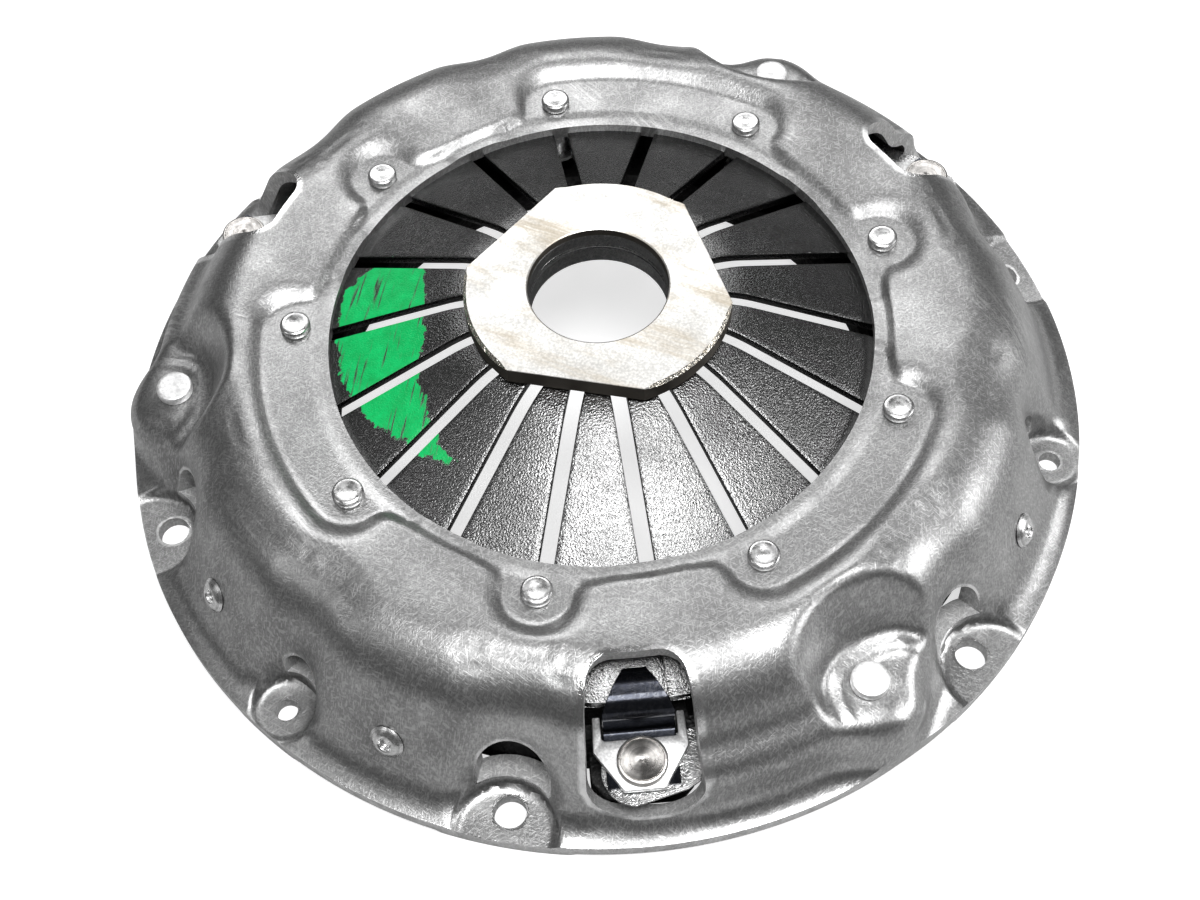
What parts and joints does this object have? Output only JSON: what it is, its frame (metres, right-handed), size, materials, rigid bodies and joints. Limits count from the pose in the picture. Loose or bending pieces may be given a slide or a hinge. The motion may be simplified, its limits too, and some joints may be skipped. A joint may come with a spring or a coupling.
{
  "type": "clutch pressure plate",
  "caption": "Clutch cover assembly: pressed lobed cover, slotted diaphragm spring on riveted rings, cast pressure plate on drive straps, release plate on the finger tips.",
  "frame": {"origin": "centre of the flywheel bolt circle, on the flywheel face of the flange pads", "axes": "+Z along the clutch axis, from the flywheel to the release bearing; -Y through one bolt hole and one fulcrum rivet"},
  "size_m": [0.272, 0.272, 0.0582],
  "materials": {
    "pressed_steel": "bare pressed steel, satin with fine scratches",
    "shot_peened_spring": "dark shot-peened spring steel",
    "ring_wire": "drawn wire",
    "bright_rivet": "bright formed rivet",
    "turned_rivet": "turned face with concentric marks",
    "cast_iron": "rough cast skin with a machined friction face",
    "ground_steel": "ground face with faint tan stains",
    "turned_steel": "turned grey steel",
    "strap_steel": "sheared spring steel strip",
    "clip_plate_steel": "bright stamped steel",
    "blued_clip": "glossy black spring steel"
  },
  "bodies": {
    "cover": {"cover": "pressed_steel", "diaphragm_spring": "shot_peened_spring", "upper_fulcrum_ring": "ring_wire", "lower_fulcrum_ring": "ring_wire", "fulcrum_rivets": "bright_rivet", "drive_strap_1": "strap_steel", "drive_strap_2": "strap_steel", "drive_strap_3": "strap_steel", "strap_rivet_1": "bright_rivet", "strap_rivet_2": "bright_rivet", "strap_rivet_3": "bright_rivet", "balance_rivet_1": "bright_rivet", "balance_rivet_2": "bright_rivet", "balance_rivet_3": "bright_rivet"},
    "pressure_plate": {"pressure_plate": "cast_iron", "lug_rivet_1": "turned_rivet", "lug_rivet_2": "turned_rivet", "lug_rivet_3": "turned_rivet", "clip_plate_1": "clip_plate_steel", "clip_plate_2": "clip_plate_steel", "clip_plate_3": "clip_plate_steel", "retraction_clip_1": "blued_clip", "retraction_clip_2": "blued_clip", "retraction_clip_3": "blued_clip"},
    "release_plate": {"release_plate": "ground_steel", "release_sleeve": "turned_steel", "sleeve_retaining_ring": "ring_wire", "bearing_snap_ring": "ring_wire"}
  },
  "joints": [
    {"name": "plate_lift", "type": "slide", "parent": "cover", "child": "pressure_plate", "axis": [0, 0, 1], "range_m": [0, 0.0065], "deforming": ["diaphragm_spring", "drive_strap_1", "drive_strap_2", "drive_strap_3"]},
    {"name": "release_travel", "type": "slide", "parent": "cover", "child": "release_plate", "axis": [0, 0, -1], "range_m": [0, 0.03], "deforming": ["diaphragm_spring"]}
  ],
  "couplings": [
    {"joint": "release_travel", "follows": "plate_lift", "ratio": 4.5}
  ]
}
